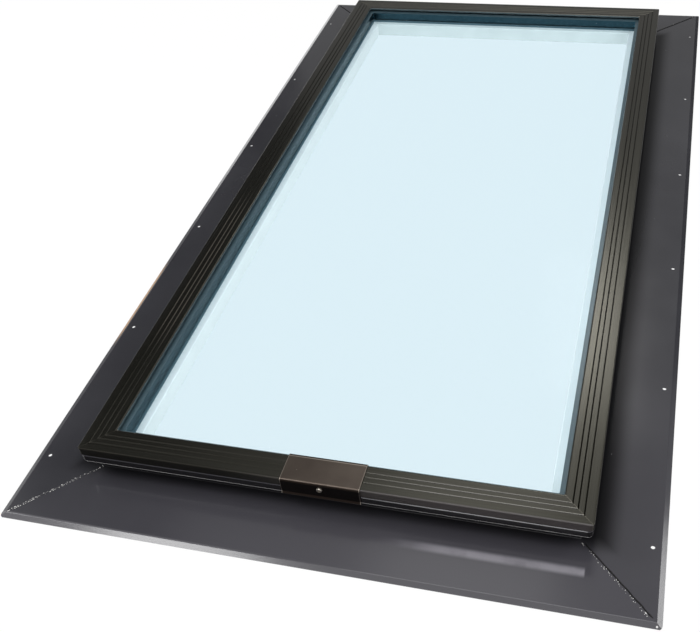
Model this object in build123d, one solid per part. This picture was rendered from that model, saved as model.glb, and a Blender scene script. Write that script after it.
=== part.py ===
from build123d import *
import math
import os

# Fixed roof skylight with its own flashing, lying on its flange.
# X runs across the slope, Y up the slope to the head, Z away from the roof deck.
# The origin is on the deck, under the middle of the glass.
# Sizes are in millimetres. An offset is measured outwards from the light opening
# and is the same on all four sides, so every frame keeps one section all round.

# Light opening between the liners
opening_width = 502.0
opening_length = 1111.6

# Sealed glazing unit
pane_thickness = 3.2
air_space = 12.7
glass_lap = 30.0            # edge of the panes beyond the light opening
pane_edge_chamfer = 0.5
seal_width = 9.0            # sealant round the outside of the spacer
spacer_width = 9.5
spacer_bend_radius = 2.0    # inside of the spacer's bent corners

# Bedding, gaskets and blocks
tape_thickness = 3.0
tape_width = 15.0
tape_setback = 5.0          # tape behind the edge of the panes
gasket_thickness = 2.4
gasket_setback = 2.0        # gasket behind the edge of the panes
block_length = 90.0
block_place_share = 0.5     # block centre, as a share of the half width of the panes
edge_gap = 3.0              # panes to liner, the thickness of a setting block

# Liner, a chambered extrusion that carries the glass
ledge_height = 24.0         # ledge under the glass, above the deck
liner_wall = 3.0
liner_web = 2.0             # partition between the lower chambers
liner_edge_radius = 1.5     # edges that show from the room
box_width = 15.0            # upper chamber beside the glass

# Flashing pan, folded sheet
sheet = 1.6
bend_radius = 1.5           # inside of each fold
pan_clearance = 0.3         # liner to upstand
flange_reach = 77.0         # flange edge beyond the cap
lip_width = 6.0             # outer strip of the flange, kicked down
lip_drop = 2.4
flange_corner_radius = 5.0
shelf_step = 4.4            # glazing shelf above the liner's ledge
rim_height = 10.0           # rim above the glazing shelf
rim_corner_radius = 7.0
rim_edge_bevel = 0.7        # outer edge along the top of the rim
weld_width = 3.6            # bead along each mitre of the flange
weld_height = 1.0

# Nail holes in the two long flanges
nail_hole_diameter = 4.8
nail_inset = 15.0           # hole centre to the side edge of the flange
nail_end_inset = 95.25      # end hole to the end edge of the flange
nail_count = 6

# Cap, a grooved extrusion that holds the glass down
cap_web = 2.2
cap_wall = 2.4              # skirt outside the liner
glass_bite = 13.0           # cap over the edge of the panes
shadow_gap = 1.8            # skirt above the rim of the pan
cap_edge_radius = 1.2
cap_nose_radius = 2.4       # edge beside the glass
cap_corner_radius = 4.0     # web at the mitred corners
skirt_corner_radius = 5.0
cap_lip_width = 2.4         # lip beside the sight line
cap_lip_gap = 1.0           # lip above the glass
gasket_gap = 0.6            # gasket to lip
mitre_joint = 0.3
groove_width = 1.8
groove_depth = 0.9
groove_place_shares = (0.33, 0.535, 0.71)   # from the outer edge, of the face width
barb_height = 1.4           # snap edge at the foot of the skirt
barb_bite = 0.8             # snap edge into the liner
snap_clearance = 0.4

# Corner keys behind the skirts
key_thickness = 1.6
key_leg = 45.0
key_play = 1.0              # key to liner
key_fit = 0.3               # key to web and snap edge

# Sill clip and its screw
clip_width = 94.0
clip_sheet = 1.6
clip_fit = 0.3              # clip to the edges of the cap
clip_rise = 0.8             # foot of the clip above the glazing shelf
kick_height = 3.0           # foot of the clip, bent outwards
kick_reach = 1.2
hook_gap = 0.5              # hook above the glass
screw_diameter = 3.6
screw_length = 13.0
screw_point = 3.0
screw_head_diameter = 7.0
screw_head_height = 2.2
screw_head_bevel = 0.9      # edge of the pan head
screw_slot_width = 1.1
screw_slot_length = 4.0
screw_slot_depth = 1.0
screw_fit = 0.3             # shank to the holes of clip and cap
screw_bite_fit = 0.05       # shank to the hole in the liner

overrun = 5.0               # how far cutting shapes pass the material

# Heights above the deck
glass_low = ledge_height + tape_thickness
spacer_low = glass_low + pane_thickness
spacer_high = spacer_low + air_space
glass_high = spacer_high + pane_thickness
cap_under = glass_high + gasket_thickness
cap_top = cap_under + cap_web
shelf_top = ledge_height + shelf_step
rim_top = shelf_top + rim_height
skirt_low = rim_top + shadow_gap
barb_top = skirt_low + barb_height
screw_height = barb_top + snap_clearance + screw_fit + screw_diameter / 2
lip_angle = math.atan2(lip_drop, lip_width)
lip_mid = sheet / 2 * math.cos(lip_angle)
flange_mid = lip_mid + lip_drop
flange_top = flange_mid + sheet / 2
tall = cap_top + overrun

# Offsets from the light opening
box_inner = glass_lap + edge_gap
body_outer = box_inner + liner_wall
box_outer = box_inner + box_width
skirt_inner = box_outer + key_thickness + key_play
cap_outer = skirt_inner + cap_wall
sight_line = glass_lap - glass_bite
cap_face = cap_outer - sight_line
upstand_inner = body_outer + pan_clearance
upstand_outer = upstand_inner + sheet
shelf_join = upstand_outer + bend_radius
flange_edge = cap_outer + flange_reach
lip_tip = flange_edge - sheet / 2 * math.sin(lip_angle)
lip_fold = lip_tip - lip_width
reach = flange_edge + overrun

turns = {"right": 0, "head": 90, "left": 180, "sill": 270}
hands = {"left": -1, "right": 1}
ends = {"sill": -1, "head": 1}


def half_sizes(side):
    # Half the opening from the middle to a side, and half the run of that side
    if side in hands:
        return opening_width / 2, opening_length / 2
    return opening_length / 2, opening_width / 2


def outline(offset, radius=0):
    # Plan rectangle at an offset, with round corners where a radius is given
    width = opening_width + 2 * offset
    length = opening_length + 2 * offset
    if radius > 0:
        return RectangleRounded(width, length, radius)
    return Rectangle(width, length)


def slab(offset, low, high, radius=0):
    return extrude(Pos(0, 0, low) * outline(offset, radius), high - low)


def ring(inner, outer, low, high, inner_radius=0, outer_radius=0):
    plan = outline(outer, outer_radius) - outline(inner, inner_radius)
    return extrude(Pos(0, 0, low) * plan, high - low)


def bar_section(inner, outer, low, high):
    # Upright rectangle in a section, from one offset and height to another
    return Pos((inner + outer) / 2, (low + high) / 2) * Rectangle(outer - inner, high - low)


def wedge(side, joint=0):
    # Space of one side between the two 45-degree mitres, each drawn back by half a joint
    across, along = half_sizes(side)
    back = joint / math.sqrt(2)
    plan = Polygon(
        (across, back - along),
        (across + reach, back - along - reach),
        (across + reach, along + reach - back),
        (across, along - back),
        align=None,
    )
    return Rot(0, 0, turns[side]) * extrude(plan, tall, both=True)


def mitred(section, side, joint=0):
    # One section run along a side of the frame and mitred at both ends
    across, along = half_sizes(side)
    bar = extrude(Pos(across, 0, 0) * Plane.XZ * section, along + reach, both=True)
    return (Rot(0, 0, turns[side]) * bar) & wedge(side, joint)


def sill_hole(diameter):
    # Bore through the sill, square to its skirt, as deep as the clip's screw
    middle = opening_length / 2 + cap_outer
    return Pos(0, -middle, screw_height) * Rot(90, 0, 0) * Cylinder(diameter / 2, 2 * screw_length)


def flashing_section():
    # Middle line of the sheet: lip, flange, upstand and the start of the shelf
    line = FilletPolyline(
        (lip_tip, lip_mid),
        (lip_fold, flange_mid),
        (upstand_inner + sheet / 2, flange_mid),
        (upstand_inner + sheet / 2, shelf_top - sheet / 2),
        (shelf_join + bend_radius, shelf_top - sheet / 2),
        radius=bend_radius + sheet / 2,
    )
    return trace(line, sheet)


def glazing_tray():
    # Shelf and upturned rim round the pan, with the corners ground round
    low = shelf_top - sheet
    outside = slab(cap_outer, low, rim_top, rim_corner_radius)
    outside = fillet(outside.faces().sort_by(Axis.Z)[0].edges(), bend_radius + sheet)
    outside = chamfer(outside.faces().sort_by(Axis.Z)[-1].edges(), rim_edge_bevel)
    inside = slab(cap_outer - sheet, shelf_top, rim_top + overrun, rim_corner_radius - sheet)
    inside = fillet(inside.faces().sort_by(Axis.Z)[0].edges(), bend_radius)
    middle = slab(shelf_join, low - overrun, shelf_top + overrun)
    return outside - inside - middle


def nail_holes():
    across = opening_width / 2 + flange_edge - nail_inset
    along = opening_length / 2 + flange_edge - nail_end_inset
    pitch = 2 * along / (nail_count - 1)
    drill = Cylinder(nail_hole_diameter / 2, 2 * (flange_top + overrun))
    return GridLocations(2 * across, pitch, 2, nail_count) * drill


def flashings():
    section = flashing_section()
    tray = glazing_tray()
    corners = slab(flange_edge, 0, tall, flange_corner_radius)
    drills = nail_holes()
    pieces = {}
    for side in turns:
        member = (mitred(section, side) & corners) + (tray & wedge(side))
        if side in hands:
            member -= drills
        pieces[side + "_flashing"] = member
    return pieces


def welds():
    # Low rounded bead on the flange, along each mitre from the upstand to the lip
    start = upstand_outer + bend_radius + weld_width
    end = lip_fold - weld_width
    half = weld_width / 2
    section = make_face([
        Line((-half, 0), (half, 0)),
        ThreePointArc((-half, 0), (0, weld_height), (half, 0)),
    ])
    bead = Rot(0, 0, 45) * extrude(Plane.YZ * section, math.sqrt(2) * (end - start))
    corner = Pos(opening_width / 2 + start, opening_length / 2 + start, flange_top) * bead
    return corner_set(corner, "weld")


def corner_set(corner, name):
    # The piece at the head right corner and its mirror images at the other three
    pieces = {}
    for end, along in ends.items():
        for hand, across in hands.items():
            piece = corner if across > 0 else mirror(corner, about=Plane.YZ)
            piece = piece if along > 0 else mirror(piece, about=Plane.XZ)
            pieces[f"{end}_{hand}_{name}"] = piece
    return pieces


def liner_section():
    # Lower body under the glass and upper box beside it, with their chambers
    section = make_face(FilletPolyline(
        (0, 0),
        (0, ledge_height),
        (box_inner, ledge_height),
        (box_inner, cap_under),
        (box_outer, cap_under),
        (box_outer, shelf_top),
        (body_outer, shelf_top),
        (body_outer, 0),
        radius=(liner_edge_radius, liner_edge_radius, 0, 0, 0, 0, 0, 0),
        close=True,
    ))
    middle = body_outer / 2
    low, high = liner_wall, ledge_height - liner_wall
    section -= bar_section(liner_wall, middle - liner_web / 2, low, high)
    section -= bar_section(middle + liner_web / 2, body_outer - liner_wall, low, high)
    section -= bar_section(body_outer, box_outer - liner_wall, shelf_top + liner_wall, cap_under - liner_wall)
    section -= bar_section(
        box_outer - barb_bite - snap_clearance,
        box_outer + overrun,
        skirt_low - snap_clearance,
        barb_top + snap_clearance,
    )
    return section


def liners():
    section = liner_section()
    pieces = {side + "_liner": mitred(section, side) for side in turns}
    pieces["sill_liner"] -= sill_hole(screw_diameter + 2 * screw_bite_fit)
    return pieces


def panes():
    # Two equal panes with ground edges
    pane = slab(glass_lap, 0, pane_thickness)
    rims = pane.faces().sort_by(Axis.Z)[0].edges() + pane.faces().sort_by(Axis.Z)[-1].edges()
    pane = chamfer(rims, pane_edge_chamfer)
    return {
        "inner_pane": Pos(0, 0, glass_low) * pane,
        "outer_pane": Pos(0, 0, spacer_high) * pane,
    }


def edge_pieces():
    # Bent spacer between the panes, and the sealant outside it
    spacer_outer = glass_lap - seal_width
    spacer_inner = spacer_outer - spacer_width
    outer_bend = spacer_bend_radius + spacer_width
    return {
        "spacer_frame": ring(
            spacer_inner, spacer_outer, spacer_low, spacer_high, spacer_bend_radius, outer_bend
        ),
        "edge_seal": ring(
            spacer_outer, glass_lap, spacer_low, spacer_high, outer_bend
        ),
    }


def bedding():
    # Foam tape under the panes, rubber gasket over them, blocks below their lower edge
    tape_outer = glass_lap - tape_setback
    tape = bar_section(tape_outer - tape_width, tape_outer, ledge_height, glass_low)
    gasket_inner = sight_line + cap_lip_width + gasket_gap
    gasket = bar_section(gasket_inner, glass_lap - gasket_setback, glass_high, cap_under)
    pieces = {}
    for side in turns:
        pieces[side + "_tape"] = mitred(tape, side)
        pieces[side + "_gasket"] = mitred(gasket, side)
    low_edge = opening_length / 2 + glass_lap
    place = block_place_share * (opening_width / 2 + glass_lap)
    block = Box(block_length, edge_gap, spacer_high - ledge_height, align=(Align.CENTER, Align.MAX, Align.MIN))
    for hand, across in hands.items():
        pieces[hand + "_block"] = Pos(across * place, -low_edge, ledge_height) * block
    return pieces


def cap_section():
    # Grooved web over the glass, lip at the sight line and skirt with its snap edge
    lip_low = glass_high + cap_lip_gap
    barb_tip = box_outer - barb_bite
    section = make_face(FilletPolyline(
        (cap_outer, skirt_low),
        (cap_outer, cap_top),
        (sight_line, cap_top),
        (sight_line, lip_low),
        (sight_line + cap_lip_width, lip_low),
        (sight_line + cap_lip_width, cap_under),
        (skirt_inner, cap_under),
        (skirt_inner, barb_top),
        (barb_tip, barb_top),
        (barb_tip + barb_bite, skirt_low),
        radius=(0, cap_edge_radius, cap_nose_radius, 0, 0, 0, 0, 0, 0, 0),
        close=True,
    ))
    for share in groove_place_shares:
        place = cap_outer - share * cap_face
        section -= Polygon(
            (place - groove_width / 2, cap_top),
            (place, cap_top - groove_depth),
            (place + groove_width / 2, cap_top),
            align=None,
        )
    return section


def caps():
    section = cap_section()
    corners = slab(cap_outer, 0, cap_under, skirt_corner_radius)
    corners += slab(cap_outer, cap_under, tall, cap_corner_radius)
    pieces = {side + "_cap": mitred(section, side, mitre_joint) & corners for side in turns}
    pieces["sill_cap"] -= sill_hole(screw_diameter + 2 * screw_fit)
    return pieces


def keys():
    # Angle behind the skirts of two caps, lining up their mitre
    strip = ring(skirt_inner - key_thickness, skirt_inner, barb_top + key_fit, cap_under - key_fit)
    corner_x = opening_width / 2 + skirt_inner
    corner_y = opening_length / 2 + skirt_inner
    near = Pos(corner_x, corner_y, 0) * Box(2 * key_leg, 2 * key_leg, 2 * tall)
    return corner_set(strip & near, "key")


def sill_clip():
    # Sheet folded over the sill cap: hook at the glass, top plate, front leg and kicked foot
    half = clip_sheet / 2
    back = sight_line - clip_fit - half
    front = cap_outer + clip_fit + half
    foot = shelf_top + clip_rise
    line = FilletPolyline(
        (back, glass_high + hook_gap),
        (back, cap_top + half),
        (front, cap_top + half),
        (front, foot + kick_height),
        (front + kick_reach, foot),
        radius=(cap_nose_radius + half, cap_edge_radius + half, cap_edge_radius + half),
    )
    section = Pos(opening_length / 2, 0, 0) * Plane.XZ * trace(line, clip_sheet)
    clip = Rot(0, 0, turns["sill"]) * extrude(section, clip_width / 2, both=True)
    return {"sill_clip": clip - sill_hole(screw_diameter + 2 * screw_fit)}


def clip_screw():
    # Pan head with a cross recess, plain shank and point, driven square through the clip
    head_radius = screw_head_diameter / 2
    radius = screw_diameter / 2
    profile = make_face(Polyline(
        (0, -screw_head_height),
        (0, screw_length),
        (radius, screw_length - screw_point),
        (radius, 0),
        (head_radius, 0),
        (head_radius, screw_head_bevel - screw_head_height),
        (head_radius - screw_head_bevel, -screw_head_height),
        close=True,
    ))
    screw = revolve(Plane.XZ * profile, Axis.Z)
    slot_floor = Pos(0, 0, screw_slot_depth - screw_head_height)
    slot_size = (screw_slot_length, screw_slot_width, overrun)
    for turn in (0, 90):
        screw -= slot_floor * Rot(0, 0, turn) * Box(*slot_size, align=(Align.CENTER, Align.CENTER, Align.MAX))
    face = opening_length / 2 + cap_outer + clip_fit + clip_sheet
    return {"clip_screw": Pos(0, -face, screw_height) * Rot(-90, 0, 0) * screw}


os.makedirs("parts", exist_ok=True)
groups = (
    flashings, welds, liners, bedding, panes, edge_pieces, caps, keys, sill_clip, clip_screw,
)
for group in groups:
    for name, piece in group().items():
        export_step(piece, f"parts/{name}.step")
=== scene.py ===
import bpy
import math
import numpy as np
from mathutils import Matrix, Vector


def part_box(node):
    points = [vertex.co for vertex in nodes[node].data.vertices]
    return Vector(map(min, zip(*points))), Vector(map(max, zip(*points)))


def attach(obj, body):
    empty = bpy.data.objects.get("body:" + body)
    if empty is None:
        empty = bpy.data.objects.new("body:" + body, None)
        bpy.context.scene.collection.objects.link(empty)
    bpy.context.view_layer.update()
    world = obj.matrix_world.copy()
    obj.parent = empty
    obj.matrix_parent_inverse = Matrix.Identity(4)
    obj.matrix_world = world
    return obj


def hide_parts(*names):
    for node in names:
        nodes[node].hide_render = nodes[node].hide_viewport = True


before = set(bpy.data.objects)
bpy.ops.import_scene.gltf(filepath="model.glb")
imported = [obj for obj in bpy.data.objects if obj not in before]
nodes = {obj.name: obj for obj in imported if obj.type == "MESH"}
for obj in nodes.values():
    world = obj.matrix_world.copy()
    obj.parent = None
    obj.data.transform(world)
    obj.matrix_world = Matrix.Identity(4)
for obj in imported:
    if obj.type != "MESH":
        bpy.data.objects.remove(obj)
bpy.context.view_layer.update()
scene = bpy.context.scene
scene.view_settings.view_transform = "Standard"
sides = ("sill", "head", "left", "right")
mottleHeight = 0.02                # mm, relief of the fine mottle on the plainer finishes
print("frame loaded, %d nodes" % len(nodes))


def toLinear(code):
    # sRGB hex to linear red, green, blue and full alpha
    srgb = np.array([int(code[i:i + 2], 16) for i in (1, 3, 5)]) / 255
    linear = np.where(srgb <= 0.04045, srgb / 12.92, ((srgb + 0.055) / 1.055) ** 2.4)
    return (*linear.tolist(), 1.0)


def perMetre(millimetres):
    # pattern scale that gives one cell this size
    return 1000 / millimetres


def inMetres(millimetres):
    return [part / 1000 for part in millimetres]


def addNode(tree, kind, settings):
    # a key that names a socket sets it, or links it to a socket or a node's first output, and a hex colour
    # there is made linear; "stops" fills a ramp, and any other key is a property
    node = tree.nodes.new("ShaderNode" + kind)
    for key, value in settings.items():
        if isinstance(value, bpy.types.Node):
            value = value.outputs[0]
        if isinstance(value, str) and value.startswith("#"):
            value = toLinear(value)
        if key == "stops":
            ramp = node.color_ramp.elements
            for place, code in value[2:]:
                ramp.new(place)
            for element, (place, code) in zip(ramp, value):
                element.position = place
                element.color = toLinear(code)
        elif isinstance(key, int) or key in node.inputs:
            if isinstance(value, bpy.types.NodeSocket):
                tree.links.new(value, node.inputs[key])
            else:
                node.inputs[key].default_value = value
        else:
            setattr(node, key, value)
    return node


def newTree(owner):
    owner.use_nodes = True
    owner.node_tree.nodes.clear()
    return owner.node_tree


def startFinish(name):
    # new material with an empty tree, and the object's coordinates in it
    material = bpy.data.materials.new(name)
    tree = newTree(material)
    return material, tree, addNode(tree, "TexCoord", {}).outputs["Object"]


def band(value, low, high, soft):
    # the two edges of a stripe that is full from low to high and gone at the soft edge outside them
    return (value, low - soft, low), (value, high + soft, high)


def mask(tree, *edges):
    # product of eased steps, each a value with the place where it is 0 and the place where it is 1
    total = None
    for value, start, end in edges:
        step = addNode(tree, "MapRange", {
            "interpolation_type": "SMOOTHSTEP", "Value": value, "From Min": start, "From Max": end})
        if total is not None:
            step = addNode(tree, "Math", {"operation": "MULTIPLY", 0: total, 1: step})
        total = step
    return total


def specks(tree, coords, points, size):
    # 1 within a speck of this many mm round each point on the object
    total = None
    for point in points:
        apart = addNode(tree, "VectorMath", {"operation": "DISTANCE", 0: coords, 1: point}).outputs["Value"]
        speck = mask(tree, (apart, size / 2000, size / 4000))
        if total is not None:
            speck = addNode(tree, "Math", {"operation": "MAXIMUM", 0: total, 1: speck})
        total = speck
    return total


def layOver(tree, colour, coats):
    # each coat's colour laid over what is under it, as far as its mask is 1
    for share, code in coats:
        colour = addNode(tree, "Mix", {"data_type": "RGBA", "Factor": share, 6: colour, 7: code}).outputs[2]
    return colour


def plainFinish(name, dark, pale, cell, rough, metallic=0.0, specular=0.5):
    # mottled two-tone finish for the small pieces, one cell of the mottle this many mm
    material, tree, coords = startFinish(name)
    grain = addNode(tree, "TexNoise", {"Vector": coords, "Scale": perMetre(cell), "Detail": 4.0})
    colour = addNode(tree, "ValToRGB", {"Fac": grain, "stops": [(0.35, dark), (0.65, pale)]})
    bump = addNode(tree, "Bump", {"Height": grain, "Distance": mottleHeight / 1000})
    shader = addNode(tree, "BsdfPrincipled", {
        "Base Color": colour, "Roughness": rough, "Metallic": metallic, "Specular IOR Level": specular,
        "Normal": bump})
    addNode(tree, "OutputMaterial", {"Surface": shader})
    return material


# Camera, solved from the edges of the flange and the corners of the cap
cameraView = {
    "eye": (0.33462, -1.24873, 0.9317),
    "azimuth": 17.727,             # degrees, to the right of the sill's middle
    "elevation": 40.182,
    "roll": -6.04,
    "focalPixels": 996.9,
    "imageSize": (700, 632),
    "middlePixel": (409.3, 282.2),  # where the lens axis meets the image
    "sensor": 36.0,
}


def makeCamera(view):
    # back axis from azimuth and elevation, right axis level and then turned by the roll
    azimuth, elevation, roll = (math.radians(view[k]) for k in ("azimuth", "elevation", "roll"))
    level = Vector((math.cos(azimuth), math.sin(azimuth), 0))
    back = Vector((
        math.sin(azimuth) * math.cos(elevation),
        -math.cos(azimuth) * math.cos(elevation),
        math.sin(elevation),
    ))
    right = level * math.cos(roll) + back.cross(level) * math.sin(roll)
    up = back.cross(right)
    width, height = view["imageSize"]
    data = bpy.data.cameras.new("photoCamera")
    data.sensor_width = view["sensor"]
    data.lens = view["focalPixels"] * view["sensor"] / width
    data.shift_x = (width / 2 - view["middlePixel"][0]) / width
    data.shift_y = (view["middlePixel"][1] - height / 2) / width
    camera = bpy.data.objects.new("photoCamera", data)
    scene.collection.objects.link(camera)
    camera.matrix_world = Matrix.Translation(view["eye"]) @ Matrix((right, up, back)).transposed().to_4x4()
    scene.camera = camera


makeCamera(cameraView)
print("camera set")


# Studio: white sweep, grey room, soft boxes and a dark card on each side
studio = {
    "floorSize": 60.0,
    "floorColour": "#f4f4f2",
    "floorGlow": 0.975,            # share of the floor's white that no shadow takes
    "room": 0.6,                   # light from all round, where white is 1
    "cards": {                     # where it stands, in metres
        "leftCard": {"x": -1.2, "y": (0.05, 2.3), "z": (0.6, 2.0)},
        "rightCard": {"x": 1.3, "y": (0.9, 3.8), "z": (0.5, 1.4)},
    },
    "felt": {"name": "greyFelt", "dark": "#464646", "pale": "#525252", "cell": 5.0, "rough": 0.95},
}
softBoxes = {
    # where it hangs, what it faces, its width and height in metres, its brightness where white is 1
    "topBox": {"place": (-0.215, 1.375, 2.2), "aim": (-0.215, 1.375, 0), "size": (0.67, 2.05),
               "bright": 1.05},
    "overBox": {"place": (0.0, -0.2, 2.2), "aim": (0.0, -0.2, 0), "size": (1.2, 1.0), "bright": 3.0},
    "frontBox": {"place": (-0.2, -1.5, 2.2), "aim": (-0.1, -1.0, 0), "size": (1.8, 1.4), "bright": 1.0},
    "lowBox": {"place": (-0.08, -3.0, 1.75), "aim": (0.0, -0.6, 0.05), "size": (1.15, 0.5), "bright": 6.0},
    "leftFill": {"place": (-1.9, -0.35, 1.5), "aim": (0.25, 0.1, 0.03), "size": (1.0, 1.0), "bright": 7.0},
    "rightFill": {"place": (1.9, -0.35, 1.5), "aim": (-0.25, 0.1, 0.03), "size": (1.0, 1.0), "bright": 6.6},
    "jambLamp": {"place": (0.02, 2.03, 2.2), "aim": (0.3, -0.2, 0.05), "size": (0.24, 0.6), "bright": 14.0},
    "leftLamp": {"place": (-1.2, -1.07, 2.2), "aim": (-0.2, -0.68, 0), "size": (0.75, 0.5), "bright": 11.0},
    "rightBox": {"place": (1.115, 0.02, 0.745), "aim": (0.38, -0.66, 0), "size": (0.25, 0.2), "bright": 9.0},
    "backStrip": {"place": (-2.7, 3.5, 0.4), "aim": (-0.38, 0.3, 0), "size": (1.5, 0.7), "bright": 2.1},
    "cornerLamp": {"place": (-3.1, 0.65, 0.5), "aim": (-0.38, -0.68, 0), "size": (0.5, 0.5), "bright": 0.9},
}


def addStage(name, corners, material):
    # one flat quadrangle of the studio, not part of the object
    mesh = bpy.data.meshes.new(name)
    mesh.from_pydata(corners, [], [(0, 1, 2, 3)])
    mesh.materials.append(material)
    thing = bpy.data.objects.new(name, mesh)
    scene.collection.objects.link(thing)
    return thing


def makeStudio(settings):
    world = bpy.data.worlds.new("greyRoom")
    scene.world = world
    tree = newTree(world)
    sky = addNode(tree, "Background", {"Strength": settings["room"]})
    addNode(tree, "OutputWorld", {"Surface": sky})

    # paper that glows white to the eye and in mirrors and glass, and still takes a shadow
    paperSweep = bpy.data.materials.new("whitePaperSweep")
    tree = newTree(paperSweep)
    rays = addNode(tree, "LightPath", {}).outputs
    seen = rays["Is Camera Ray"]
    for ray in ("Is Glossy Ray", "Is Transmission Ray"):
        seen = addNode(tree, "Math", {"operation": "ADD", "use_clamp": True, 0: seen, 1: rays[ray]})
    glow = addNode(tree, "Math", {"operation": "MULTIPLY", 0: seen, 1: settings["floorGlow"]})
    paper = addNode(tree, "BsdfDiffuse", {"Color": settings["floorColour"]})
    white = addNode(tree, "Emission", {"Strength": 1.0})
    mixed = addNode(tree, "MixShader", {"Fac": glow, 1: paper, 2: white})
    addNode(tree, "OutputMaterial", {"Surface": mixed})
    half = settings["floorSize"] / 2
    addStage("floor", [(-half, -half, 0), (half, -half, 0), (half, half, 0), (-half, half, 0)], paperSweep)

    felt = plainFinish(**settings["felt"])
    for name, card in settings["cards"].items():
        x, (near, far), (low, high) = card["x"], card["y"], card["z"]
        flag = addStage(name, [(x, near, low), (x, far, low), (x, far, high), (x, near, high)], felt)
        flag.visible_camera = False


def hangLamp(name, settings):
    # rectangle lamp turned so that its back axis points away from what it lights
    width, height = settings["size"]
    data = bpy.data.lights.new(name, "AREA")
    data.shape = "RECTANGLE"
    data.size, data.size_y = width, height
    data.energy = settings["bright"] * math.pi * width * height
    lamp = bpy.data.objects.new(name, data)
    lamp.visible_camera = False
    scene.collection.objects.link(lamp)
    away = Vector(settings["place"]) - Vector(settings["aim"])
    lamp.location = settings["place"]
    lamp.rotation_euler = away.to_track_quat("Z", "Y").to_euler()


makeStudio(studio)
for name, settings in softBoxes.items():
    hangLamp(name, settings)
print("studio lit")


# Flashing: aluminium sheet with baked polyester paint, satin charcoal with a faint orange peel and specks of
# dust, with painted shade beside the frame and on the rim, painted light on the sill, painted highlights on
# the front lip and the foot of the rim, a painted streak of reflection on the sill, an orange painted
# reflection on the left lip and painted glints at the front right corner
flashingFinish = {
    "paint": "#26262a",
    "paintPale": "#313135",
    "cloud": 160.0,                # mm across one patch of slightly paler paint
    "peel": 3.0,                   # mm between ripples of the baked paint
    "peelHeight": 0.003,           # mm
    "rough": (0.12, 0.2),
    "gloss": 0.5,                  # specular level of the paint
    # painted shade, darker in a band beside the frame
    "paintedShade": "#121214",
    "shadeBand": (32.0, 5.0),      # mm from the frame, where it starts and where it is full
    "shadeGloss": 0.12,            # specular level in the band of painted shade, low so that the band stays dark
    "sillShift": 28.0,             # mm, how much nearer the band lies at sill and head
    "mitreSoft": 1.0,              # mm over which a mark of the sill ends at its mitres
    "paleLayer": "#39383d",             # painted light, paler on the sill and low on the right flange
    "paintedLightAlong": (-0.55, 0.0),     # m across the sill, where it starts and where it is full
    "paintedLightRight": (0.0, 0.6),       # m across, the same on the right flange
    "paintedLightDown": (-0.2, -0.6),      # m down the right flange, the same
    "lip": "#4a494d",              # painted highlight on the front lip, at the left
    "lipFace": (8.5, 7.5),         # mm from the front edge, where it starts and where it is full
    "lipAlong": (0.05, -0.2),      # m across the sill, the same
    "tray": "#0f0e10",
    "trayFace": (28.3, 37.4),      # mm above the deck, the shaded face of the rim
    "traySoft": 0.4,               # mm
    "fold": "#dedcdd",             # painted highlight along the foot of the rim at the sill
    "foldFace": (27.6, 29.2),      # mm above the deck
    "foldSoft": 0.2,               # mm
    "glint": "#d6d5d4",             # painted glints at the front right corner
    "glintPlaces": [(0.3755, -0.6832, 0.0015), (0.3638, -0.6708, 0.003)],
    "glintSize": 3.6,               # mm
    # painted reflection, a pale streak across the sill
    "paintedStreak": "#757379",
    "streakAlong": ((0.065, 0.165), (0.299, 0.297)),  # m across the sill, how each end starts and fills
    "streakAcross": (-0.6368, -0.6342),
    "streakSoft": 6.5,                # mm
    "streakWisps": 30.0,              # mm across one wisp in the painted streak
    "wispShade": (0.0, 0.62),      # noise values where a wisp starts and where it is full
    # orange painted reflection along the left lip
    "orangeReflection": "#9a8068",
    "reflectionAlong": (-0.35, -0.25),  # m up the left lip
    "reflectionSoft": 50.0,             # mm
    "reflectionAcross": (-0.3765, -0.3775),
    "dust": "#8f8f90",
    "dustApart": 210.0,            # mm between specks of dust
    "dustSize": 1.0,               # mm across a speck, coarser than real so that it shows
}


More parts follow.
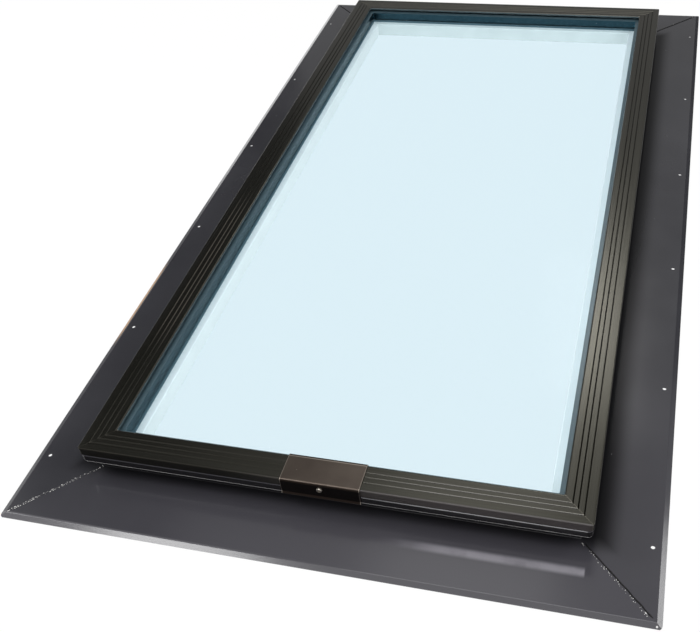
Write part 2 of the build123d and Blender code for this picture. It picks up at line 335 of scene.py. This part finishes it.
def bakedPaint(settings):
    material, tree, coords = startFinish("bakedPolyesterOnAluminium")
    x, y, z = addNode(tree, "SeparateXYZ", {"Vector": coords}).outputs
    absX, absY = (addNode(tree, "Math", {"operation": "ABSOLUTE", 0: part}) for part in (x, y))
    cloud = addNode(tree, "TexNoise", {"Vector": coords, "Scale": perMetre(settings["cloud"]), "Detail": 4.0})
    plain = addNode(tree, "ValToRGB", {
        "Fac": cloud, "stops": [(0.2, settings["paint"]), (0.8, settings["paintPale"])]})

    # how far a point lies outside the frame, and how far past the sill's mitres
    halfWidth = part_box("right_cap")[1].x
    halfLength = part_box("head_cap")[1].y - settings["sillShift"] / 1000
    aside = addNode(tree, "Math", {"operation": "SUBTRACT", 0: absX, 1: halfWidth})
    ahead = addNode(tree, "Math", {"operation": "SUBTRACT", 0: absY, 1: halfLength})
    apart = addNode(tree, "Math", {"operation": "MAXIMUM", 0: aside, 1: ahead})
    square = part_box("head_flashing")[1].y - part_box("right_flashing")[1].x
    mitre = addNode(tree, "Math", {"operation": "ADD", 0: absX, 1: square})
    pastMitre = addNode(tree, "Math", {"operation": "ADD", 0: y, 1: mitre})
    onSill = (pastMitre, 0.0, -settings["mitreSoft"] / 1000)

    sillPaintedLight = mask(tree, onSill, (x, *settings["paintedLightAlong"]))
    rightPaintedLight = mask(tree, (x, *settings["paintedLightRight"]), (y, *settings["paintedLightDown"]))
    paleLayer = addNode(tree, "Math", {"operation": "MAXIMUM", 0: sillPaintedLight, 1: rightPaintedLight})
    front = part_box("sill_flashing")[0].y
    lipStart, lipFull = inMetres(settings["lipFace"])
    paintedHighlight = mask(tree, (y, front + lipStart, front + lipFull), (x, *settings["lipAlong"]))
    paintedShade = mask(tree, (apart, *inMetres(settings["shadeBand"])))
    tray = mask(tree, *band(z, *inMetres(settings["trayFace"]), settings["traySoft"] / 1000))
    fold = mask(tree, onSill, *band(z, *inMetres(settings["foldFace"]), settings["foldSoft"] / 1000))
    wisps = addNode(tree, "TexNoise", {
        "Vector": coords, "Scale": perMetre(settings["streakWisps"]), "Detail": 3.0})
    paintedStreak = mask(tree, *band(y, *settings["streakAcross"], settings["streakSoft"] / 1000),
               (wisps, *settings["wispShade"]), *((x, *end) for end in settings["streakAlong"]))
    orangeReflection = mask(tree, *band(y, *settings["reflectionAlong"], settings["reflectionSoft"] / 1000),
                 (x, *settings["reflectionAcross"]))
    dust = addNode(tree, "TexVoronoi", {
        "voronoi_dimensions": "2D", "Vector": coords, "Scale": perMetre(settings["dustApart"])})
    grit = settings["dustSize"] / settings["dustApart"] / 2
    colour = layOver(tree, plain, [
        (paleLayer, settings["paleLayer"]),
        (paintedHighlight, settings["lip"]),
        (paintedShade, settings["paintedShade"]),
        (tray, settings["tray"]),
        (fold, settings["fold"]),
        (specks(tree, coords, settings["glintPlaces"], settings["glintSize"]), settings["glint"]),
        (paintedStreak, settings["paintedStreak"]),
        (orangeReflection, settings["orangeReflection"]),
        (mask(tree, (dust, grit, grit / 2)), settings["dust"]),
    ])

    smoothest, roughest = settings["rough"]
    rough = addNode(tree, "MapRange", {
        "Value": cloud, "From Min": 0.2, "From Max": 0.8, "To Min": smoothest, "To Max": roughest})
    gloss = addNode(tree, "MapRange", {
        "Value": paintedShade, "To Min": settings["gloss"], "To Max": settings["shadeGloss"]})
    peel = addNode(tree, "TexNoise", {"Vector": coords, "Scale": perMetre(settings["peel"]), "Detail": 1.0})
    bump = addNode(tree, "Bump", {"Height": peel, "Distance": settings["peelHeight"] / 1000})
    shader = addNode(tree, "BsdfPrincipled", {
        "Base Color": colour, "Roughness": rough, "IOR": 1.5, "Specular IOR Level": gloss, "Normal": bump})
    addNode(tree, "OutputMaterial", {"Surface": shader})
    return material


# Caps: extruded aluminium, anodised dark bronze, a metal that mirrors little, with fine die lines along the
# run and a paler burr where the saw cut the mitres; painted shade on the outer edge of the sill at the left,
# a painted sheen on its front face at the right, painted highlights in the grooves and a painted reflection
# of the glass on the inner face
capFinish = {
    "bronze": "#3e3d37",
    "bronzePale": "#464540",
    "lineWidth": 0.8,              # mm across a die line
    "lineLength": 300.0,           # mm
    "lineHeight": 0.006,           # mm
    "rough": (0.2, 0.28),
    "nose": "#23221f",             # darker metal on the outer edge of the sill, at the left, rougher too: painted shade
    "noseFace": (2.0, 1.0),        # mm from the outer face, where it starts and where it is full
    "noseAlong": (0.15, -0.15),    # m across the sill, the same
    "noseRough": 0.5,
    "skirt": "#343030",            # front face of the sill, grey and not metal at the right: a painted sheen
    "skirtFace": (2.5, 0.5),       # mm from the outer face, where it starts and where it is full
    "skirtAlong": (-0.15, 0.15),   # m across the sill, the same
    "lip": "#2f3f45",              # inner face, not metal and blue: a painted reflection of the glass
    "lipFace": (0.8, 0.4),         # mm from the sight line, where it starts and where it is full
    "groove": "#47433d",           # painted highlight in the grooves of the left jamb
    "grooveUp": (-0.36, -0.16),    # m up the left jamb
    "grooveSoft": 0.1,             # m
    "sillGroove": "#474644",       # painted highlight in the grooves of the sill
    "sillGrooveAlong": (-0.02, 0.15),  # m across the sill, where it starts and where it is full
    "grooveDepth": 0.9,            # mm
    "grooveClear": (5.0, 6.0),     # mm without grooves at the sight line and at the outer face
    "clearSoft": 0.5,              # mm
    "oneSide": (0.0, -0.1),        # m, tells the sill from the head and the left jamb from the right
    "burr": "#6e6b63",
    "burrWidth": 1.0,              # mm
    "speck": "#d8d6d0",
    "speckSize": 1.4,              # mm
    "speckPlaces": [(0.2735, 0.1846, 0.0508), (-0.2438, -0.5751, 0.0508)],
}


def bronzeAnodised(settings, alongX):
    material, tree, coords = startFinish("bronzeAnodised" + ("AlongX" if alongX else "AlongY"))
    x, y, z = addNode(tree, "SeparateXYZ", {"Vector": coords}).outputs
    absX, absY = (addNode(tree, "Math", {"operation": "ABSOLUTE", 0: part}) for part in (x, y))
    run, across = perMetre(settings["lineLength"]), perMetre(settings["lineWidth"])
    stretch = addNode(tree, "Mapping", {
        "Vector": coords, "Scale": (run, across, across) if alongX else (across, run, across)})
    lines = addNode(tree, "TexNoise", {"Vector": stretch, "Scale": 1.0, "Detail": 3.0})
    plain = addNode(tree, "ValToRGB", {
        "Fac": lines, "stops": [(0.3, settings["bronze"]), (0.7, settings["bronzePale"])]})
    smoothest, roughest = settings["rough"]
    rough = addNode(tree, "MapRange", {
        "Value": lines, "From Min": 0.2, "From Max": 0.8, "To Min": smoothest, "To Max": roughest})

    # how far a point lies from the middle, and the stretch of the face that holds the grooves
    if alongX:
        away, inner, outer = absY, -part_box("sill_cap")[1].y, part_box("head_cap")[1].y
    else:
        away, inner, outer = absX, -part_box("left_cap")[1].x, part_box("right_cap")[1].x
    top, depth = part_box("right_cap")[1].z, settings["grooveDepth"] / 1000
    clearInside, clearOutside = inMetres(settings["grooveClear"])
    inGroove = (*band(z, top - depth, top - depth / 3, depth / 6),
                *band(away, inner + clearInside, outer - clearOutside, settings["clearSoft"] / 1000))

    lipStart, lipFull = inMetres(settings["lipFace"])
    lip = mask(tree, (away, inner + lipStart, inner + lipFull))
    if alongX:
        noseStart, noseFull = inMetres(settings["noseFace"])
        nose = mask(tree, (y, noseStart - outer, noseFull - outer), (x, *settings["noseAlong"]))
        rough = addNode(tree, "Mix", {"Factor": nose, 2: rough, 3: settings["noseRough"]})
        skirtStart, skirtFull = inMetres(settings["skirtFace"])
        paintedLight = mask(tree, (y, skirtStart - outer, skirtFull - outer), (x, *settings["skirtAlong"]))
        paintedHighlight = mask(tree, (x, *settings["sillGrooveAlong"]), (y, *settings["oneSide"]), *inGroove)
        coats = [(nose, settings["nose"]), (paintedLight, settings["skirt"]), (paintedHighlight, settings["sillGroove"])]
    else:
        paintedLight = mask(tree, *band(y, *settings["grooveUp"], settings["grooveSoft"]),
                    (x, *settings["oneSide"]), *inGroove)
        coats = [(paintedLight, settings["groove"])]

    # the burr lies where the distance past the mitre, |y| - |x| - square, is next to nothing
    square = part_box("head_cap")[1].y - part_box("right_cap")[1].x
    mitre = addNode(tree, "Math", {"operation": "ADD", 0: absX, 1: square})
    pastMitre = addNode(tree, "Math", {"operation": "SUBTRACT", 0: absY, 1: mitre})
    half = settings["burrWidth"] / 2000
    colour = layOver(tree, plain, coats + [
        (lip, settings["lip"]),
        (mask(tree, *band(pastMitre, -half, half, half / 2)), settings["burr"]),
        (specks(tree, coords, settings["speckPlaces"], settings["speckSize"]), settings["speck"]),
    ])
    paintedLight = addNode(tree, "Math", {"operation": "MAXIMUM", 0: lip, 1: paintedLight})
    metal = addNode(tree, "Math", {"operation": "SUBTRACT", 0: 1.0, 1: paintedLight})
    bump = addNode(tree, "Bump", {"Height": lines, "Distance": settings["lineHeight"] / 1000})
    shader = addNode(tree, "BsdfPrincipled", {
        "Base Color": colour, "Roughness": rough, "Metallic": metal, "Normal": bump})
    addNode(tree, "OutputMaterial", {"Surface": shader})
    return material


# Clip: folded aluminium, bronze anodised, with painted highlights on the cut edges and the rear bend and
# painted shade on the front face
clipFinish = {
    "bronze": "#524a44",
    "bronzePale": "#5c544d",
    "grain": 30.0,                 # mm
    "rough": 0.28,
    # painted shade on the front face
    "front": "#231d1a",
    "frontFace": (3.0, 1.5),       # mm from the front, where it starts and where it is full
    # painted highlights on the cut edges and the rear bend, and a pale speck
    "paleHighlight": "#8f867d",
    "edge": 0.6,                   # mm of each cut edge
    "bend": 4.0,                   # mm, outer radius of the bend at the glass
    "behind": "#171412",           # hook behind the bend, in the shade
    "speckPlaces": [(-0.0313, -0.5939, 0.0524)],
    "speckSize": 1.2,              # mm
}


def clipBronze(settings):
    material, tree, coords = startFinish("bronzeAnodisedClip")
    x, y, z = addNode(tree, "SeparateXYZ", {"Vector": coords}).outputs
    absX = addNode(tree, "Math", {"operation": "ABSOLUTE", 0: x})
    low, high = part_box("sill_clip")
    grain = addNode(tree, "TexNoise", {"Vector": coords, "Scale": perMetre(settings["grain"]), "Detail": 4.0})
    plain = addNode(tree, "ValToRGB", {
        "Fac": grain, "stops": [(0.3, settings["bronze"]), (0.7, settings["bronzePale"])]})
    edge, bend = settings["edge"] / 1000, high.y - settings["bend"] / 1000
    frontStart, frontFull = inMetres(settings["frontFace"])
    colour = layOver(tree, plain, [
        (mask(tree, (y, low.y + frontStart, low.y + frontFull)), settings["front"]),
        (mask(tree, *band(y, bend - 1.5 * edge, bend, edge / 2)), settings["paleHighlight"]),
        (mask(tree, (y, bend + edge, bend + 2 * edge)), settings["behind"]),
        (mask(tree, (absX, high.x - 1.2 * edge, high.x - 0.8 * edge)), settings["paleHighlight"]),
        (specks(tree, coords, settings["speckPlaces"], settings["speckSize"]), settings["paleHighlight"]),
    ])
    bump = addNode(tree, "Bump", {"Height": grain, "Distance": mottleHeight / 1000})
    shader = addNode(tree, "BsdfPrincipled", {
        "Base Color": colour, "Roughness": settings["rough"], "Metallic": 1.0, "Normal": bump})
    addNode(tree, "OutputMaterial", {"Surface": shader})
    return material


# Spacer: rolled aluminium, bright dark blue at the side, with a dull film of butyl on its top
spacerFinish = {
    "side": "#2c434c",
    "sidePale": "#344c56",
    "level": "#3f5057",
    "levelFace": (0.2, 0.1),       # mm below the top, where the film starts and where it is full
    "grain": 6.0,                  # mm
    "rough": 0.3,
}


def rolledSpacer(settings):
    material, tree, coords = startFinish("rolledAluminiumSpacer")
    height = addNode(tree, "SeparateXYZ", {"Vector": coords}).outputs[2]
    grain = addNode(tree, "TexNoise", {"Vector": coords, "Scale": perMetre(settings["grain"]), "Detail": 4.0})
    plain = addNode(tree, "ValToRGB", {
        "Fac": grain, "stops": [(0.3, settings["side"]), (0.7, settings["sidePale"])]})
    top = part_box("spacer_frame")[1].z
    filmStart, filmFull = inMetres(settings["levelFace"])
    level = mask(tree, (height, top - filmStart, top - filmFull))
    colour = layOver(tree, plain, [(level, settings["level"])])
    metal = addNode(tree, "Math", {"operation": "SUBTRACT", 0: 1.0, 1: level})
    bump = addNode(tree, "Bump", {"Height": grain, "Distance": mottleHeight / 1000})
    shader = addNode(tree, "BsdfPrincipled", {
        "Base Color": colour, "Roughness": settings["rough"], "Metallic": metal, "Normal": bump})
    addNode(tree, "OutputMaterial", {"Surface": shader})
    return material


# Glass: two panes of clear float, a faint blue in the depth and, as in the photo, hardly any mirror
glassFinish = {
    "tint": "#edf7fb",             # what one pane lets through
    "ior": 1.52,
    "rough": 0.05,
    "mirror": 0.0006,              # share of the surface that mirrors and bends the light
}


def floatGlass(settings):
    material = bpy.data.materials.new("clearFloatGlass")
    tree = newTree(material)
    tint = toLinear(settings["tint"])
    glass = addNode(tree, "BsdfPrincipled", {
        "Base Color": tint, "Roughness": settings["rough"], "IOR": settings["ior"],
        "Transmission Weight": 1.0})
    oneFace = [math.sqrt(part) for part in tint]  # two faces to a pane
    paleLayer = addNode(tree, "BsdfTransparent", {"Color": oneFace})
    clear = addNode(tree, "BsdfTransparent", {})
    rays = addNode(tree, "LightPath", {}).outputs
    seen = addNode(tree, "MixShader", {"Fac": settings["mirror"], 1: paleLayer, 2: glass})
    lit = addNode(tree, "MixShader", {"Fac": rays["Is Diffuse Ray"], 1: seen, 2: clear})
    mixed = addNode(tree, "MixShader", {"Fac": rays["Is Shadow Ray"], 1: lit, 2: clear})
    addNode(tree, "OutputMaterial", {"Surface": mixed})
    return material


# Smaller pieces: what each is made of and how, and what that gives the eye
smallFinishes = {
    # extruded white vinyl, smooth with a soft shine
    "liner": {"name": "whiteVinylExtrusion", "dark": "#f5f6f5", "pale": "#f9faf9", "cell": 40.0,
              "rough": 0.4},
    # the same vinyl, greyer at the head: painted shade
    "shadedHeadLiner": {"name": "vinylExtrusionPaintedShade", "dark": "#dfe3e2", "pale": "#e6e9e8", "cell": 40.0,
                  "rough": 0.4},
    # closed-cell foam tape, dull; its pale blue-grey is painted light, as lit through the glass
    "tape": {"name": "foamTape", "dark": "#4a626b", "pale": "#566f79", "cell": 1.5, "rough": 0.9},
    # extruded rubber under the cap; its blue is painted light, the tint of the glass beside it
    "gasket": {"name": "rubberGasketPaintedGlassTint", "dark": "#1f2f36", "pale": "#2a3c44", "cell": 2.0,
               "rough": 0.5},
    # butyl laid round the spacer, dark with a slight shine
    "sealant": {"name": "butylSealant", "dark": "#1a282e", "pale": "#22323a", "cell": 3.0, "rough": 0.5},
    # moulded rubber, black and dull
    "block": {"name": "blackRubber", "dark": "#101010", "pale": "#181817", "cell": 2.0, "rough": 0.6},
    # aluminium as it left the mill, pale and grained
    "key": {"name": "millAluminium", "dark": "#a8a8a6", "pale": "#bcbcba", "cell": 2.0, "rough": 0.4,
            "metallic": 1.0},
    # zinc-plated steel, bright and a little warm
    "screw": {"name": "zincPlatedSteel", "dark": "#a39d94", "pale": "#b9b4ab", "cell": 1.0, "rough": 0.3,
              "metallic": 1.0},
    # weld spatter left bare, bright and uneven
    "spatter": {"name": "bareWeldMetal", "dark": "#8d8b88", "pale": "#f4f3f0", "cell": 1.6, "rough": 0.4,
                "metallic": 0.3},
    # paint over the weld, nearly black and without shine
    "nearBlack": {"name": "nearBlackPaintOnWeld", "dark": "#0a0a0b", "pale": "#1c1b1c", "cell": 3.0,
                 "rough": 0.6, "specular": 0.15},
}
small = {piece: plainFinish(**settings) for piece, settings in smallFinishes.items()}
paint = bakedPaint(flashingFinish)
capAlongX = bronzeAnodised(capFinish, True)
capAlongY = bronzeAnodised(capFinish, False)
glass = floatGlass(glassFinish)

finishes = {
    "inner_pane": glass, "outer_pane": glass,
    "spacer_frame": rolledSpacer(spacerFinish), "edge_seal": small["sealant"],
    "left_block": small["block"], "right_block": small["block"],
    "sill_clip": clipBronze(clipFinish), "clip_screw": small["screw"],
}
for side in sides:
    finishes[side + "_flashing"] = paint
    finishes[side + "_liner"] = small["shadedHeadLiner" if side == "head" else "liner"]
    finishes[side + "_tape"] = small["tape"]
    finishes[side + "_gasket"] = small["gasket"]
    finishes[side + "_cap"] = capAlongX if side in ("sill", "head") else capAlongY
for end in ("sill", "head"):
    for hand in ("left", "right"):
        finishes[end + "_" + hand + "_key"] = small["key"]
for name, material in finishes.items():
    nodes[name].data.materials.clear()
    nodes[name].data.materials.append(material)
print("%d nodes finished" % len(finishes))


# Weld beads on the mitres of the flange, run from the upstand out to the lip
weldBeads = {
    # seed of its unevenness, share of the full width, near black or painted over; drops of bright spatter:
    # how many, the stretch of the bead in shares, how far from the mitre and how large in mm
    "sill_left": {"seed": 4, "width": 0.5, "nearBlack": False,
                  "drops": 150, "run": (-0.05, 1.03), "reach": (-1.3, 1.3), "size": (0.25, 0.65)},
    "sill_right": {"seed": 7, "width": 0.6, "nearBlack": True,
                   "drops": 52, "run": (-0.02, 0.97), "reach": (-3.8, -1.2), "size": (0.2, 0.52)},
    "head_left": {"seed": 11, "width": 0.8, "nearBlack": True,
                  "drops": 3, "run": (0.3, 1.0), "reach": (-3.0, -1.5), "size": (0.25, 0.5)},
    "head_right": {"seed": 13, "width": 0.9, "nearBlack": True,
                   "drops": 3, "run": (0.3, 1.0), "reach": (1.5, 3.0), "size": (0.25, 0.5)},
}
beadShape = {
    "fullWidth": 3.6,              # mm
    "pitch": 2.4,                  # mm between ripples
    "wander": 0.3,                 # mm, how far it strays from the mitre
    "sunk": 0.3,                   # mm below the face of the sheet
    "tip": 0.02,                   # share of the size that is left at the very ends
    "widthShares": (0.8, 0.08, 0.12),   # of the width: even, rippled, slowly waving
    "heightShares": (0.76, 0.1, 0.14),  # of the height, the same
    "rings": 200,
    "points": 16,
}
dropShape = {
    "pole": 0.2,                   # radians cut off flat at top and foot
    "flat": 0.6,                   # height as a share of the width
    "lift": 0.2,                   # middle above the sheet, as a share of the radius
    "levels": 7,
    "turns": 10,
}


def waves(seeds, along, count):
    # uneven line: a few sines of random pitch and phase, averaged, between -1 and 1
    pitch = seeds.uniform(1, 9, count)[:, None]
    phase = seeds.uniform(0, 2 * math.pi, count)[:, None]
    return np.sin(2 * math.pi * pitch * along + phase).mean(0)


def tubeFaces(rings, points):
    # quads between neighbouring rings, closed round, and one flat face at each end
    ring, point = np.meshgrid(np.arange(rings - 1), np.arange(points), indexing="ij")
    after = (point + 1) % points
    quads = np.stack([ring * points + point, ring * points + after,
                      (ring + 1) * points + after, (ring + 1) * points + point], -1).reshape(-1, 4)
    first = np.arange(points)[::-1]
    last = (rings - 1) * points + np.arange(points)
    return quads, np.stack([first, last])


def mitreLine(name, width):
    # diagonal of the node's box in plan, from its inner corner outwards, half a width short at both ends
    low, high = (np.array(corner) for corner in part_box(name + "_weld"))
    sign = np.sign(low[:2])
    heading = sign / math.sqrt(2)
    return {
        "heading": heading,
        "beside": np.array([-heading[1], heading[0]]),
        "inner": np.where(sign > 0, low[:2], high[:2]) + heading * width / 2,
        "length": (high[0] - low[0]) * math.sqrt(2) - width,
        "foot": low[2],
        "height": high[2] - low[2],
    }


def beadSurface(seeds, line, share, shape):
    # ring of half an ellipse over a shallow foot, carried along the mitre: width and height ripple with the
    # run, swell by slow waves and shrink to next to nothing at both ends
    width = shape["fullWidth"] / 1000
    along = np.linspace(0, 1, shape["rings"])
    run = along * line["length"]
    ripple = np.cos(2 * math.pi * run * 1000 / shape["pitch"] + 2 * waves(seeds, along, 4))
    ends = np.sqrt(np.clip(np.minimum(run, line["length"] - run) / width, shape["tip"], 1))
    even, rippled, waving = shape["widthShares"]
    half = share * width / 2 * ends * (even + rippled * ripple + waving * waves(seeds, along, 5))
    even, rippled, waving = shape["heightShares"]
    crown = line["height"] * ends * (even + rippled * ripple + waving * waves(seeds, along, 5))
    stray = shape["wander"] / 1000 * waves(seeds, along, 3)
    turn = np.linspace(0, 2 * math.pi, shape["points"], endpoint=False)
    across = half[:, None] * np.cos(turn) + stray[:, None]
    rise = np.where(np.sin(turn) > 0, crown[:, None] * np.sin(turn), shape["sunk"] / 1000 * np.sin(turn))
    plan = line["inner"] + run[:, None, None] * line["heading"] + across[:, :, None] * line["beside"]
    return np.concatenate([plan, line["foot"] + rise[:, :, None]], 2).reshape(-1, 3)


def dropSurface(seeds, line, settings, shape):
    # one flattened ball, scaled by each drop's radius and set at its run along and reach beside the mitre
    count = settings["drops"]
    radius = seeds.uniform(*settings["size"], count) / 1000
    run = line["length"] * seeds.uniform(*settings["run"], count)
    reach = seeds.uniform(*settings["reach"], count) / 1000
    tilt = np.linspace(math.pi - shape["pole"], shape["pole"], shape["levels"])[:, None]
    turn = np.linspace(0, 2 * math.pi, shape["turns"], endpoint=False)
    ball = np.stack([np.sin(tilt) * np.cos(turn), np.sin(tilt) * np.sin(turn),
                     shape["flat"] * np.cos(tilt) + shape["lift"] + 0 * turn], 2).reshape(1, -1, 3)
    plan = line["inner"] + run[:, None] * line["heading"] + reach[:, None] * line["beside"]
    spot = np.concatenate([plan, np.full((count, 1), line["foot"])], 1)
    return (ball * radius[:, None, None] + spot[:, None, :]).reshape(-1, 3)


def layBead(name, settings, bead, drop):
    seeds = np.random.default_rng(settings["seed"])
    line = mitreLine(name, bead["fullWidth"] / 1000)
    beadPoints = beadSurface(seeds, line, settings["width"], bead)
    dropPoints = dropSurface(seeds, line, settings, drop)

    quads, ends = tubeFaces(bead["rings"], bead["points"])
    faces = quads.tolist() + ends.tolist()
    metal = [0] * len(faces)
    quads, ends = tubeFaces(drop["levels"], drop["turns"])
    skip = (len(beadPoints) + np.arange(settings["drops"]) * drop["levels"] * drop["turns"])[:, None, None]
    faces += (quads + skip).reshape(-1, 4).tolist() + (ends + skip).reshape(-1, drop["turns"]).tolist()
    metal += [1] * (len(faces) - len(metal))

    mesh = bpy.data.meshes.new(name + "_bead")
    mesh.from_pydata(np.concatenate([beadPoints, dropPoints]).tolist(), [], faces)
    mesh.polygons.foreach_set("use_smooth", [True] * len(faces))
    mesh.polygons.foreach_set("material_index", metal)
    mesh.materials.append(small["nearBlack"] if settings["nearBlack"] else paint)
    mesh.materials.append(small["spatter"])
    piece = bpy.data.objects.new(name + "_bead", mesh)
    scene.collection.objects.link(piece)
    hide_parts(name + "_weld")
    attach(piece, "root")


for name, settings in weldBeads.items():
    layBead(name, settings, beadShape, dropShape)
print("%d weld beads laid" % len(weldBeads))
